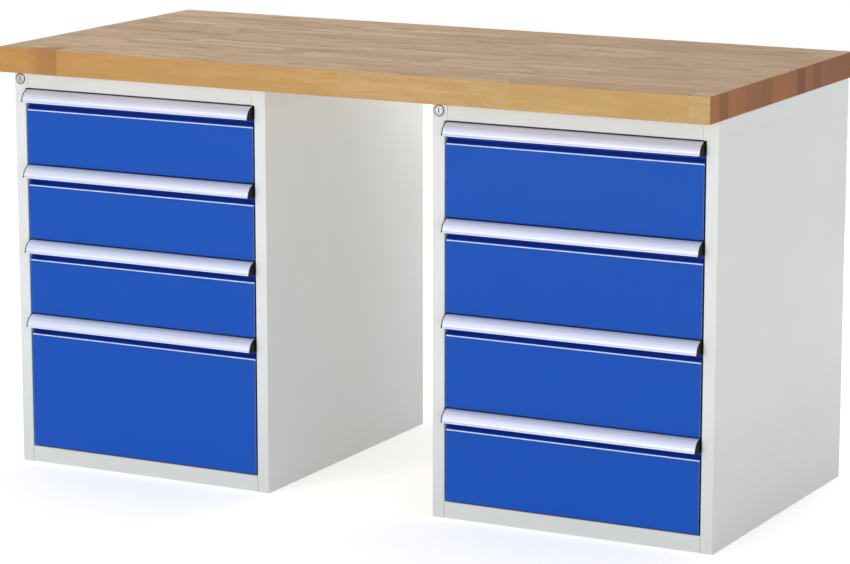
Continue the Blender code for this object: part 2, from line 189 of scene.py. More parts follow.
# Central lock
LOCK_INSET = 0.0135
LOCK_DROP = 0.0185
LOCK_HOLE_RADIUS = 0.00955
LOCK_HOLE_HALF_DEPTH = 0.010
ROSETTE_BORE = 0.0069
ROSETTE_RIM = 0.0012
BARREL_RADIUS = 0.00915
BARREL_DEPTH = 0.019
# A black ring as painted shade in the gap round the rosette: its bore
GAP_SHADE_RING_BORE = 0.00925
# A black block as painted shade in the plug's keyway: half width, half height, depth and how far
# it stands proud
KEYWAY_HALF_WIDTH = 0.00115
KEYWAY_HALF_HEIGHT = 0.0039
KEYWAY_DEPTH = 0.0016
KEYWAY_PROUD = 0.0001

# Kept CAD nodes
LOCK_BEVEL = 0.0002
PANEL_BEVEL = 0.0003

# Worktop
STAVE_WIDTH = 0.0412
BLOCK_LENGTHS = (0.20, 0.46)
WORKTOP_UNDERSIDE = 0.79
WORKTOP_EDGE = 0.0012
HEART_START = -0.685
HEART_END = -0.615
HEART_FADE = 0.035

# Stage and camera; the camera looks down by its dip and turns from +Y, both in degrees
FLOOR_DROP = 0.0005
WORLD_STRENGTH = 0.65
CAMERA_LENS = 140.8
CAMERA_PLACE = (2.9805, -5.6611, 1.6581)
CAMERA_DIP = 11.299
CAMERA_TURN = 27.729

# Painted shade towards the floor: its share down there and the height where it ends
FOOT_SHADE = 0.42
FOOT_SHADE_HEIGHT = 0.26


# Materials


class Graph:
    """A material whose nodes are added by short calls that return their output sockets."""

    def __init__(self, name):
        self.material = bpy.data.materials.new(name)
        self.material.use_nodes = True
        self.tree = self.material.node_tree
        self.shader = self.tree.nodes["Principled BSDF"]
        self.place = self.node("TexCoord").outputs["Object"]

    def node(self, kind, inputs=None, **settings):
        node = self.tree.nodes.new("ShaderNode" + kind)
        for name, value in settings.items():
            setattr(node, name, value)
        for key, value in (inputs or {}).items():
            self.feed(node.inputs[key], value)
        return node

    def feed(self, socket, value):
        if isinstance(value, bpy.types.NodeSocket):
            self.tree.links.new(value, socket)
        elif socket.type == "RGBA":
            socket.default_value = (*value[:3], 1.0)
        else:
            socket.default_value = value

    def math(self, operation, first, second=0.0):
        return self.node("Math", {0: first, 1: second}, operation=operation).outputs[0]

    def plus(self, first, second):
        return self.math("ADD", first, second)

    def minus(self, first, second):
        return self.math("SUBTRACT", first, second)

    def times(self, first, second):
        return self.math("MULTIPLY", first, second)

    def absolute(self, value):
        return self.math("ABSOLUTE", value)

    def vector(self, *parts):
        return self.node("CombineXYZ", dict(enumerate(parts))).outputs[0]

    def axes(self, vector):
        return self.node("SeparateXYZ", {0: vector}).outputs

    def channels(self, colour):
        return self.node("SeparateColor", {0: colour}).outputs

    def facing(self):
        """The surface's own X, Y and Z direction."""
        return self.axes(self.node("TexCoord").outputs["Normal"])

    def scaled(self, vector, factors):
        node = self.node("VectorMath", {0: vector, 1: factors}, operation="MULTIPLY")
        return node.outputs[0]

    def shifted(self, vector, offset):
        return self.node("VectorMath", {0: vector, 1: offset}, operation="ADD").outputs[0]

    def noise(self, vector, scale=1.0, detail=2.0, roughness=0.5):
        inputs = {"Vector": vector, "Scale": scale, "Detail": detail, "Roughness": roughness}
        return self.node("TexNoise", inputs).outputs[0]

    def chance(self, key, value, dimensions):
        """A random colour for each whole number or pair of them."""
        node = self.node("TexWhiteNoise", {key: value}, noise_dimensions=dimensions)
        return node.outputs["Color"]

    def spread(self, value, low, high, start=0.0, end=1.0):
        """Maps a value from start..end to low..high, held at both ends."""
        inputs = {0: value, 1: start, 2: end, 3: low, 4: high}
        return self.node("MapRange", inputs).outputs[0]

    def blend(self, factor, first, second, mode="MIX"):
        node = self.node("Mix", data_type="RGBA", blend_type=mode)
        self.feed(node.inputs[0], factor)
        self.feed(node.inputs[6], first)
        self.feed(node.inputs[7], second)
        return node.outputs[2]

    def bump(self, height, distance, strength=1.0, before=None):
        inputs = {"Height": height, "Distance": distance, "Strength": strength}
        if before is not None:
            inputs["Normal"] = before
        return self.node("Bump", inputs).outputs[0]

    def finish(self, **inputs):
        """Feeds the shader; an input's name has underscores for its spaces."""
        for name, value in inputs.items():
            self.feed(self.shader.inputs[name.replace("_", " ")], value)
        return self.material


def painted_bend_light(g, base, pale, behind_shade):
    """Painted light on a front whose face lies at Y = 0: a pale painted highlight on its bends,
    and painted shade on everything behind the face.
    """
    depth = g.axes(g.place)[1]
    facing = g.facing()
    # The mask of the painted highlight: the bends just behind the face, weak on upright edges and
    # none where they face down
    turn = g.spread(g.absolute(facing[1]), 1.0, 0.0, 0.93, 0.992)
    turn = g.times(turn, g.spread(depth, 1.0, 0.0, 0.0009, 0.0016))
    turn = g.times(turn, g.spread(facing[2], 0.12, 1.0, 0.0, 0.15))
    turn = g.times(turn, g.spread(facing[2], 0.0, 1.0, -0.25, -0.05))
    # Noise breaks up the painted highlight
    highlight_breakup = g.spread(g.noise(g.place, 300.0, 3.0, 0.6), 0.75, 1.0, 0.35, 0.6)
    # Painted shade behind the face: the recess, the returns and the gaps
    base = g.blend(g.spread(depth, 0.0, 1.0, 0.0008, 0.0040), base, behind_shade)
    return g.blend(g.times(turn, highlight_breakup), base, pale)


def powder_coat(name, colour, roughness, peel, specular=0.4, bend_light=None, foot=None):
    """Baked powder paint: orange peel at about a millimetre, faint clouding and handling marks.

    A pair of bend colours gives a front whose face lies at Y = 0 a painted highlight on its bends
    and painted shade behind the face. With foot, a colour, painted shade darkens the paint towards
    the floor at Z = 0. Both are painted light, and also stand in for the halos of sharpening.
    """
    g = Graph(name)
    peel_height = g.noise(g.place, 850.0, 1.5, 0.45)
    grain_height = g.noise(g.place, 3600.0, 1.0, 0.5)
    clouds = g.noise(g.place, 5.0, 3.0, 0.55)
    smears = g.noise(g.scaled(g.place, (9.0, 9.0, 31.0)), 1.0, 4.0, 0.6)
    tone = g.spread(clouds, 0.985, 1.015, 0.3, 0.7)
    tint = g.node("CombineColor", {0: tone, 1: tone, 2: tone}).outputs[0]
    base = g.blend(1.0, colour, tint, "MULTIPLY")
    rough = g.plus(g.spread(smears, -0.04, 0.05, 0.35, 0.7), roughness)
    rough = g.plus(rough, g.spread(peel_height, -0.02, 0.02))
    # Painted light: a highlight on the bends and shade behind the face of a front
    if bend_light:
        base = painted_bend_light(g, base, *bend_light)
    # Painted shade towards the floor
    if foot:
        height = g.axes(g.place)[2]
        shade = g.spread(height, FOOT_SHADE, 0.0, 0.0, FOOT_SHADE_HEIGHT)
        base = g.blend(g.times(shade, g.spread(smears, 0.8, 1.0)), base, foot)
    normal = g.bump(peel_height, peel, 1.0)
    normal = g.bump(grain_height, peel * 0.2, 0.5, normal)
    return g.finish(
        Base_Color=base, Roughness=rough, Normal=normal, Specular_IOR_Level=specular
    )


def anodised_aluminium(name):
    """A drawn extrusion: die lines along its length under a milky anodised skin."""
    g = Graph(name)
    lines = g.noise(g.scaled(g.place, (2.0, 1500.0, 1500.0)), 1.0, 3.0, 0.6)
    broad = g.noise(g.scaled(g.place, (1.2, 260.0, 260.0)), 1.0, 2.0, 0.5)
    satin = g.noise(g.place, 5200.0, 1.0, 0.5)
    streak = g.spread(broad, 0.0, 1.0, 0.35, 0.65)
    colour = g.blend(streak, (0.63, 0.67, 0.82), (0.72, 0.76, 0.93))
    rough = g.plus(g.spread(lines, -0.06, 0.07, 0.3, 0.7), 0.46)
    normal = g.bump(lines, 0.000014, 0.8)
    normal = g.bump(satin, 0.000006, 0.5, normal)
    return g.finish(Base_Color=colour, Roughness=rough, Normal=normal, Metallic=0.3)


def zinc_steel(name):
    """Bright zinc plate: soft spangle, rolling lines and a slightly warm cast."""
    g = Graph(name)
    cells = g.node("TexVoronoi", {"Vector": g.place, "Scale": 120.0}, feature="F1")
    spangle = g.channels(cells.outputs["Color"])[0]
    lines = g.noise(g.scaled(g.place, (900.0, 6.0, 900.0)), 1.0, 3.0, 0.6)
    colour = g.blend(g.spread(spangle, 0.0, 1.0), (0.50, 0.51, 0.52), (0.62, 0.62, 0.60))
    rough = g.plus(g.spread(lines, -0.07, 0.08, 0.3, 0.7), 0.36)
    rough = g.plus(rough, g.spread(spangle, -0.03, 0.03))
    normal = g.bump(lines, 0.00001, 0.6)
    return g.finish(Base_Color=colour, Roughness=rough, Normal=normal, Metallic=1.0)


def chrome(name):
    """Polished plating with hairline key scratches."""
    g = Graph(name)
    hairs = g.noise(g.scaled(g.place, (3000.0, 400.0, 900.0)), 1.0, 4.0, 0.7)
    film = g.noise(g.place, 260.0, 2.0, 0.5)
    rough = g.plus(g.spread(hairs, 0.0, 0.14, 0.55, 0.75), 0.16)
    rough = g.plus(rough, g.spread(film, 0.0, 0.05))
    normal = g.bump(hairs, 0.000006, 0.5)
    return g.finish(
        Base_Color=(0.50, 0.50, 0.51), Roughness=rough, Normal=normal, Metallic=1.0
    )


def moulded_plastic(name, colour):
    """Spark-eroded black plastic: a fine even grain, paler where it is rubbed."""
    g = Graph(name)
    grain = g.noise(g.place, 2600.0, 2.0, 0.6)
    rub = g.noise(g.place, 90.0, 3.0, 0.6)
    lighter = tuple(channel * 1.9 + 0.002 for channel in colour)
    base = g.blend(g.spread(rub, 0.0, 0.6, 0.5, 0.8), colour, lighter)
    rough = g.plus(g.spread(grain, -0.05, 0.05), 0.55)
    normal = g.bump(grain, 0.00004, 0.6)
    return g.finish(
        Base_Color=base, Roughness=rough, Normal=normal, Specular_IOR_Level=0.25
    )


# Colours of the beech; in a pair, a block's chance or its place picks between the two
BEECH = {
    "edge_light": ((0.980, 0.740, 0.310), (0.970, 0.760, 0.370)),
    "edge_dark": ((0.900, 0.600, 0.200), (0.890, 0.620, 0.240)),
    "edge_left": (0.820, 0.415, 0.095),
    "edge_figure": (0.780, 0.420, 0.110),
    "edge_grain": ((0.800, 0.500, 0.180), (0.680, 0.350, 0.090)),
    # The face colours are greyer than the edge colours, partly a painted sheen
    "face_light": ((0.840, 0.625, 0.430), (0.860, 0.610, 0.385)),
    "face_dark": ((0.660, 0.450, 0.280), (0.680, 0.440, 0.250)),
    "face_right_shade": (0.420, 0.250, 0.140),
    "face_mottle": (0.440, 0.235, 0.120),
    "face_grain": (0.400, 0.230, 0.120),
    "end": ((0.390, 0.158, 0.057), (0.225, 0.077, 0.028)),
    "end_rear": (0.200, 0.062, 0.020),
    "end_ring": (0.150, 0.062, 0.027),
    "end_pore": (0.110, 0.045, 0.025),
    "heart": (0.500, 0.200, 0.050),
    "fleck": (0.300, 0.150, 0.070),
    "glue": (0.170, 0.080, 0.035),
    "rim": (0.330, 0.190, 0.080),
}


def beech_blocks(g, x, y):
    """Staves counted across Y, their blocks counted along X, and a chance for each block."""
    rows = math.floor((cad_high.y - cad_low.y) / STAVE_WIDTH)
    across = g.math("DIVIDE", g.minus(y, cad_low.y), STAVE_WIDTH)
    row = g.math("MINIMUM", g.math("MAXIMUM", g.math("FLOOR", across), 0.0), rows - 1.0)
    row_random = g.channels(g.chance("W", row, "1D"))
    length = g.spread(row_random[0], *BLOCK_LENGTHS)
    along = g.math("DIVIDE", g.plus(x, g.times(row_random[1], 7.0)), length)
    block_number = g.math("FLOOR", along)
    return across, row, along, g.chance("Vector", g.vector(row, block_number), "2D")


def beech_log(g, x, y, z, chance, slope):
    """A place in the log that a block was cut from, leaning and swaying a little."""
    lean = g.times(x, g.spread(slope, -0.035, 0.035))
    own = g.vector(x, g.plus(y, lean), z)
    own = g.shifted(own, g.scaled(chance, (11.0, 17.0, 13.0)))
    sway = g.noise(g.scaled(own, (9.0, 30.0, 30.0)), 1.0, 2.0, 0.5)
    moved = g.node("VectorMath", {0: own, 1: g.scaled(sway, (0.0, 0.020, 0.020))}, operation="ADD")
    return moved.outputs[0]


def beech_edge(g, x, tone, warm, figure):
    """Side grain, honey-coloured and redder towards the left, and its share of that red."""
    light = g.blend(warm, *BEECH["edge_light"])
    dark = g.blend(warm, *BEECH["edge_dark"])
    colour = g.blend(g.spread(tone, 0.0, 0.8), light, dark)
    left = g.spread(x, 1.0, 0.0, -0.75, 0.45)
    colour = g.blend(g.times(left, 0.95), colour, BEECH["edge_left"])
    figured = g.times(g.spread(figure, 0.0, 0.70, 0.45, 0.60), g.spread(left, 0.65, 1.0))
    return g.blend(figured, colour, BEECH["edge_figure"]), left


def beech_face(g, x, tone, warm, own):
    """The oiled face: browner than the edges and greyer, partly its own tone and partly a painted
    sheen, and darker towards the right as painted shade where that sheen fades.
    """
    light = g.blend(warm, *BEECH["face_light"])
    dark = g.blend(warm, *BEECH["face_dark"])
    colour = g.blend(tone, light, dark)
    # Painted shade towards the right, where the sheen fades
    colour = g.blend(g.spread(x, 0.0, 0.30, -0.35, 0.70), colour, BEECH["face_right_shade"])
    mottled = g.noise(g.scaled(own, (9.0, 42.0, 42.0)), 1.0, 2.0, 0.5)
    return g.blend(g.spread(mottled, 0.0, 0.60, 0.54, 0.66), colour, BEECH["face_mottle"])


def beech_end(g, y, z, row, tone, slope):
    """End grain: growth rings about a pith below each stave, with open pores."""
    pith_y = g.plus(g.times(row, STAVE_WIDTH), cad_low.y + STAVE_WIDTH / 2)
    pith_y = g.plus(pith_y, g.spread(slope, -0.05, 0.05))
    pith_z = g.plus(g.spread(tone, -0.11, -0.03), cad_low.z + WORKTOP_UNDERSIDE)
    from_pith = g.vector(g.minus(y, pith_y), g.minus(z, pith_z))
    radius = g.node("VectorMath", {0: from_pith}, operation="LENGTH").outputs["Value"]
    wobble = g.noise(g.place, 60.0, 2.0, 0.5)
    ring = g.plus(g.times(radius, 2600.0), g.times(wobble, 6.0))
    ring = g.spread(g.math("SINE", ring), 0.0, 1.0, -1.0, 1.0)
    pores = g.noise(g.place, 2400.0, 1.0, 0.5)
    colour = g.blend(g.spread(tone, 0.0, 1.0, 0.15, 0.85), *BEECH["end"])
    colour = g.blend(g.spread(y, 0.0, 0.60, -0.20, 0.35), colour, BEECH["end_rear"])
    colour = g.blend(g.times(ring, 0.30), colour, BEECH["end_ring"])
    return g.blend(g.spread(pores, 0.0, 0.5, 0.55, 0.7), colour, BEECH["end_pore"])


def joint_line(g, count, start, end):
    """One where a count passes a whole number, and zero between."""
    from_middle = g.absolute(g.minus(g.math("FRACT", count), 0.5))
    return g.spread(from_middle, 0.0, 1.0, start, end)


def beech(name):
    """Laminated beech: finger-jointed staves along X, each with its own tone and grain."""
    g = Graph(name)
    x, y, z = g.axes(g.place)
    across, row, along, chance = beech_blocks(g, x, y)
    tone, warm, slope = g.channels(chance)
    own = beech_log(g, x, y, z, chance, slope)
    rings = g.noise(g.scaled(own, (4.0, 52.0, 52.0)), 1.0, 4.0, 0.6)
    streaks = g.noise(g.scaled(own, (11.0, 170.0, 170.0)), 1.0, 3.0, 0.6)
    figure = g.noise(g.scaled(own, (9.0, 45.0, 60.0)), 1.0, 3.0, 0.6)
    rays = g.noise(g.scaled(own, (240.0, 1300.0, 1300.0)), 1.0, 1.0, 0.4)
    flecks = g.spread(rays, 0.0, 1.0, 0.60, 0.72)

    colour, left = beech_edge(g, x, tone, warm, figure)
    face_colour = beech_face(g, x, tone, warm, own)
    facing = g.facing()
    is_face = g.spread(g.absolute(facing[2]), 0.0, 1.0, 0.5, 0.8)
    colour = g.blend(is_face, colour, face_colour)

    # A heartwood patch at the left end of the front stave, cut off by its finger joint
    ragged = g.plus(x, g.spread(rings, -0.03, 0.03, 0.3, 0.7))
    heart = g.spread(ragged, 0.0, 1.0, HEART_START, HEART_START + HEART_FADE)
    heart = g.times(heart, g.math("LESS_THAN", x, HEART_END))
    heart = g.times(heart, g.math("LESS_THAN", row, 0.5))
    colour = g.blend(g.times(heart, 0.85), colour, BEECH["heart"])

    grain = g.blend(left, *BEECH["edge_grain"])
    grain = g.blend(is_face, grain, BEECH["face_grain"])
    shares = ((rings, 0.65, 0.36, 0.42, 0.68), (streaks, 0.50, 0.24, 0.45, 0.70))
    for lines, on_edge, on_face, start, end in shares:
        amount = g.spread(is_face, on_edge, on_face)
        colour = g.blend(g.times(g.spread(lines, 0.0, 1.0, start, end), amount), colour, grain)
    colour = g.blend(g.times(flecks, 0.30), colour, BEECH["fleck"])

    end_colour = beech_end(g, y, z, row, tone, slope)
    is_end = g.spread(g.absolute(facing[0]), 0.0, 1.0, 0.6, 0.8)
    colour = g.blend(is_end, colour, end_colour)

    # Glue lines between staves and at the joints along them, but none along the end grain
    side_line = joint_line(g, across, 0.490, 0.497)
    end_line = g.times(joint_line(g, along, 0.4980, 0.4992), g.minus(1.0, is_end))
    glue = g.math("MAXIMUM", side_line, end_line)
    colour = g.blend(g.times(glue, 0.55), colour, BEECH["glue"])

    # Rounded corners a little darker than what they join
    upright = g.absolute(facing[2])
    rim = g.times(
        g.spread(upright, 0.0, 1.0, 0.15, 0.45), g.spread(upright, 1.0, 0.0, 0.75, 0.95)
    )
    colour = g.blend(g.times(rim, 0.45), colour, BEECH["rim"])

    rough = g.plus(g.spread(streaks, -0.05, 0.07), 0.50)
    rough = g.plus(rough, g.times(is_end, 0.12))
    height = g.minus(g.times(streaks, 0.5), g.times(flecks, 0.5))
    height = g.minus(height, g.times(glue, 0.6))
    normal = g.bump(height, 0.00012, 0.7)
    return g.finish(
        Base_Color=colour, Roughness=rough, Normal=normal, Specular_IOR_Level=0.2
    )


def floor_paint(name):
    """A pale floor that glows a little, for the photograph's white ground."""
    g = Graph(name)
    clouds = g.noise(g.place, 0.8, 2.0, 0.5)
    colour = g.blend(clouds, (0.965, 0.965, 0.965), (0.985, 0.985, 0.985))
    grain = g.noise(g.place, 180.0, 2.0, 0.5)
    return g.finish(
        Base_Color=colour, Roughness=0.9, Normal=g.bump(grain, 0.0002, 0.2),
        Emission_Color=(1.0, 1.0, 1.0), Emission_Strength=0.36,
    )


FINISHES = {
    "worktop": beech("beech"),
    # The foot colour paints shade towards the floor
    "carcass_grey": powder_coat(
        "grey_powder_coat", (0.655, 0.675, 0.662), 0.34, 0.00004, foot=(0.42, 0.43, 0.42)
    ),
    "front_blue": powder_coat(
        "blue_powder_coat", (0.002, 0.070, 0.41), 0.33, 0.00004, 0.15,
        # Painted light: a highlight colour for the bends and a shade colour behind the face
        ((0.88, 0.96, 1.00), (0.001, 0.021, 0.22)),
    ),
    "tray_grey": powder_coat("tray_powder_coat", (0.62, 0.63, 0.61), 0.42, 0.00004),
    "handle_aluminium": anodised_aluminium("anodised_aluminium"),
    "handle_cap": moulded_plastic("black_plastic", (0.004, 0.004, 0.0045)),
    "zinc_steel": zinc_steel("zinc_plate"),
    "lock_chrome": chrome("chrome_plate"),
}


# Sections


def rounded(points, radii, closed=False, step=math.radians(15)):
    """A path with its corners turned into arcs; radii is one number or one for each point."""
    points = [Vector(point) for point in points]
    count = len(points)
    if not hasattr(radii, "__len__"):
        radii = [radii] * count
    result = []
    for index, corner in enumerate(points):
        if not closed and index in (0, count - 1):
            result.append(corner)
            continue
        before = (points[index - 1] - corner).normalized()
        after = (points[(index + 1) % count] - corner).normalized()
        half = before.angle(after) / 2
        radius = radii[index]
        if radius <= 0 or half > math.radians(89):
            result.append(corner)
            continue
        centre = corner + (before + after).normalized() * radius / math.sin(half)
        first = corner + before * radius / math.tan(half) - centre
        last = corner + after * radius / math.tan(half) - centre
        start = math.atan2(first.y, first.x)
        turn = (math.atan2(last.y, last.x) - start + math.pi) % (2 * math.pi) - math.pi
        segments = max(2, round(abs(turn) / step))
        for i in range(segments + 1):
            angle = start + turn * i / segments
            result.append(centre + radius * Vector((math.cos(angle), math.sin(angle))))
    return result


def offset(points, distance, closed):
    """The path moved to its left by a distance, with mitred corners."""
    count = len(points)
    normals = []
    for index in range(count if closed else count - 1):
        run = (points[(index + 1) % count] - points[index]).normalized()
        normals.append(Vector((-run.y, run.x)))
    moved = []
    for index, point in enumerate(points):
        after = normals[index] if index < len(normals) else normals[-1]
        before = normals[index - 1] if index or closed else normals[0]
        moved.append(point + (before + after) * distance / (1 + before.dot(after)))
    return moved


def folded(path, thickness, radius=BEND_RADIUS):
    """The closed outline of a sheet bent along a path, with its thickness on the path's left."""
    outer = rounded(path, radius)
    return outer + offset(outer, thickness, closed=False)[::-1]


def arc(centre, radius, start, end, segments):
    """Points along a circle, from one angle to another."""
    points = []
    for i in range(segments + 1):
        angle = start + (end - start) * i / segments
        points.append(Vector(centre) + radius * Vector((math.cos(angle), math.sin(angle))))
    return points


def inwards(hand, outline):
    """Maps insets from a cabinet's outer side to X, for its left (-1) or right (+1) side."""
    return [Vector((hand * (HALF_WIDTH - inset), along)) for inset, along in outline]


def member(size, rise, faces_out=False):
    """The section of a slide member: a C of nearest inset, farthest inset and half height."""
    near, far, half = size
    if faces_out:
        path = [(near, rise - half), (far, rise - half), (far, rise + half), (near, rise + half)]
    else:
        path = [(far, rise + half), (near, rise + half), (near, rise - half), (far, rise - half)]
    return folded(path, SLIDE_SHEET, SLIDE_BEND)


# Meshes


def mesh_of(bm, name, sharp=SHARP):
    """A mesh of a bmesh, smooth but for the edges sharper than an angle."""
    bmesh.ops.recalc_face_normals(bm, faces=bm.faces)
    mesh = bpy.data.meshes.new(name)
    bm.to_mesh(mesh)
    bm.free()
    mesh.shade_smooth()
    mesh.set_sharp_from_angle(angle=sharp)
    return mesh


AXES = {
    "XY": lambda across, along, depth: (across, along, depth),
    "XZ": lambda across, along, depth: (across, depth, along),
    "YZ": lambda across, along, depth: (depth, across, along),
}


def extruded(outline, plane, start, end, edge=EDGE, steps=2):
    """A bmesh of an outline extruded from start to end, its end edges rounded."""
    area = sum(a.x * b.y - b.x * a.y for a, b in zip(outline, outline[1:] + outline[:1]))
    side = 1 if area > 0 else -1
    rings = []
    for i in range(steps + 1):
        angle = math.pi / 2 * i / steps
        shape = offset(outline, side * edge * (1 - math.sin(angle)), closed=True)
        rings.append((shape, edge * (1 - math.cos(angle))))
    layers = [(shape, start + rise) for shape, rise in rings]
    layers += [(shape, end - rise) for shape, rise in reversed(rings)]
    bm = bmesh.new()
    loops = []
    for shape, depth in layers:
        loops.append([bm.verts.new(AXES[plane](point.x, point.y, depth)) for point in shape])
    for lower, upper in zip(loops, loops[1:]):
        for i in range(len(lower)):
            j = (i + 1) % len(lower)
            bm.faces.new((lower[i], lower[j], upper[j], upper[i]))
    bm.faces.new(loops[0])
    bm.faces.new(loops[-1])
    return bm


def extrusion(name, outline, plane, start, end, edge=EDGE, steps=2):
    """A mesh of one extruded outline."""
    return mesh_of(extruded(outline, plane, start, end, edge, steps), name)


def merged(name, parts):
    """One mesh of several bmeshes."""
    whole = bmesh.new()
    for part in parts:
        helper = bpy.data.meshes.new("helper")
        part.to_mesh(helper)
        part.free()
        whole.from_mesh(helper)
        bpy.data.meshes.remove(helper)
    return mesh_of(whole, name)


def rectangle(low, high):
    """Four corners, from the first two coordinates of two opposite ones."""
    return [(low[0], low[1]), (high[0], low[1]), (high[0], high[1]), (low[0], high[1])]


def block(low, high, edge=EDGE):
    """A bmesh of a box with softened edges."""
    outline = rounded(rectangle(low, high), edge * 1.5, closed=True, step=math.radians(45))
    return extruded(outline, "XY", low[2], high[2], edge)


def dome(centre, axis, head):
    """The low round head of a rivet or screw on an axis; head is its radius and flatness."""
    radius, flatness = head
    squeeze = [flatness if name == axis else 1 for name in "XYZ"]
    place = Matrix.Translation(centre) @ Matrix.Diagonal((*squeeze, 1))
    bm = bmesh.new()
    bmesh.ops.create_uvsphere(bm, u_segments=20, v_segments=10, radius=radius, matrix=place)
    return bm


def turned(name, profile, steps=48):
    """A profile of (radius, Y) points turned about the Y axis."""
    bm = bmesh.new()
    verts = [bm.verts.new((radius, along, 0.0)) for radius, along in profile]
    edges = [bm.edges.new(pair) for pair in zip(verts, verts[1:])]
    bmesh.ops.spin(
        bm, geom=verts + edges, cent=(0, 0, 0), axis=(0, 1, 0), angle=2 * math.pi, steps=steps,
        use_merge=True,
    )
    bmesh.ops.remove_doubles(bm, verts=bm.verts, dist=1e-6)
    return mesh_of(bm, name, SHARP_TURNED)


def cut(mesh, cutter):
    """The mesh with a cutter's shapes taken away by an exact Boolean."""
    target = bpy.data.objects.new("cut_target", mesh)
    tool = bpy.data.objects.new("cut_tool", cutter)
    for helper in (target, tool):
        bpy.context.scene.collection.objects.link(helper)
    boolean = target.modifiers.new("cut", "BOOLEAN")
    boolean.operation = "DIFFERENCE"
    boolean.solver = "EXACT"
    boolean.object = tool
    evaluated = target.evaluated_get(bpy.context.evaluated_depsgraph_get())
    result = bpy.data.meshes.new_from_object(evaluated)
    result.name = mesh.name
    for helper in (target, tool):
        bpy.data.objects.remove(helper, do_unlink=True)
    result.shade_smooth()
    result.set_sharp_from_angle(angle=SHARP_CUT)
    return result


def piece(name, mesh, slot, body, place=(0, 0, 0), replaces=()):
    """A finished piece: material, even shading, its body, and the CAD nodes that it stands for."""
    obj = bpy.data.objects.new(name, mesh)
    bpy.context.scene.collection.objects.link(obj)
    obj.location = place
    if not mesh.materials:
        mesh.materials.append(FINISHES[slot])
    normals = obj.modifiers.new("even_shading", "WEIGHTED_NORMAL")
    normals.weight = 100
    normals.keep_sharp = True
    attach(obj, body)
    if replaces:
        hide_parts(*replaces)


def keep_node(name, slot, bevel):
    """A CAD node shown as it is, with the scene's material and softened edges."""
    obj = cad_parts[name]
    obj.data.materials.clear()
    obj.data.materials.append(FINISHES[slot])
    weld = obj.modifiers.new("weld", "WELD")
    weld.merge_threshold = 0.00001
    soft = obj.modifiers.new("soft_edges", "BEVEL")
    soft.width = bevel
    soft.segments = 2
    soft.limit_method = "ANGLE"
    soft.harden_normals = True


# Worktop


def make_worktop():
    """The slab, one piece with softened corners."""
    low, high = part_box("worktop")
    corners = rectangle(low.yz, high.yz)
    outline = rounded(corners, WORKTOP_EDGE, closed=True, step=math.radians(22))
    mesh = extrusion("worktop_slab", outline, "YZ", low.x, high.x, WORKTOP_EDGE, 4)
    piece("worktop_slab", mesh, "worktop", "bench", replaces=("worktop",))


# Carcass


def with_lock_hole(part):
    """The head of a left post with a round hole for the barrel of the lock."""
    reach = LOCK_HOLE_HALF_DEPTH
    profile = [(0, -reach), (LOCK_HOLE_RADIUS, -reach), (LOCK_HOLE_RADIUS, reach), (0, reach)]
    bore = turned("bore", profile)
    bore.transform(Matrix.Translation((LOCK_INSET - HALF_WIDTH, 0, CABINET_TOP - LOCK_DROP)))
    drilled = bmesh.new()
    drilled.from_mesh(cut(mesh_of(part, "head"), bore))
    return drilled


def side_sheet(hand):
    """The outer sheet: rear flange, side, and a post that widens beside the top rail."""
    shared = [(FLANGE, CABINET_DEPTH), (0, CABINET_DEPTH), (0, 0)]
    post = folded(shared + [(POST_WIDTH, 0), (POST_WIDTH, POST_DEPTH)], SHEET)
    head = folded(shared + [(POST_WIDTH + HEAD_WIDTH, 0)], SHEET)
    lower = extruded(inwards(hand, post), "XY", 0, OPENING_TOP, EDGE, 1)
    upper = extruded(inwards(hand, head), "XY", OPENING_TOP, CABINET_TOP, HEAD_EDGE, 1)
    if hand < 0:
        upper = with_lock_hole(upper)
    ends = sorted(hand * (HALF_WIDTH - inset) for inset in (SHEET, FLANGE))
    foot = block((ends[0], SHEET, 0), (ends[1], CABINET_DEPTH - SHEET, SHEET))
    ends = sorted(hand * (HALF_WIDTH - inset) for inset in (SHEET, POST_WIDTH - SHEET))
    top = OPENING_BOTTOM - SHEET
    sill = block((ends[0], SHEET, top - SHEET), (ends[1], POST_DEPTH, top))
    return merged("side_sheet", [lower, upper, foot, sill])


def upright_mesh(hand, front):
    """A slotted channel between the side sheet and the slide rails."""
    near, far = SHEET + GAP, CABINET_MEMBER[0]
    back = front + UPRIGHT_WIDTH
    path = [(near, front), (far, front), (far, back), (near, back)]
    outline = inwards(hand, folded(path, SHEET, UPRIGHT_BEND))
    low, high = OPENING_BOTTOM + UPRIGHT_END_GAP, OPENING_TOP - UPRIGHT_END_GAP
    mesh = extrusion("upright", outline, "XY", low, high)
    reach = (far - UPRIGHT_SLOT_CUT, far + UPRIGHT_SLOT_CUT)
    web = sorted(hand * (HALF_WIDTH - inset) for inset in reach)
    middle = front + UPRIGHT_WIDTH / 2
    wide, tall = UPRIGHT_SLOT_HALF_WIDTH, UPRIGHT_SLOT_HALF_HEIGHT
    slots = []
    height = low + UPRIGHT_SLOT_PITCH / 2
    while height < high - UPRIGHT_SLOT_MARGIN:
        for shift in (-UPRIGHT_SLOT_SHIFT, UPRIGHT_SLOT_SHIFT):
            slots.append(block(
                (web[0], middle + shift - wide, height - tall),
                (web[1], middle + shift + wide, height + tall), SLOT_EDGE,
            ))
        height += UPRIGHT_SLOT_PITCH
    return cut(mesh, merged("slots", slots))


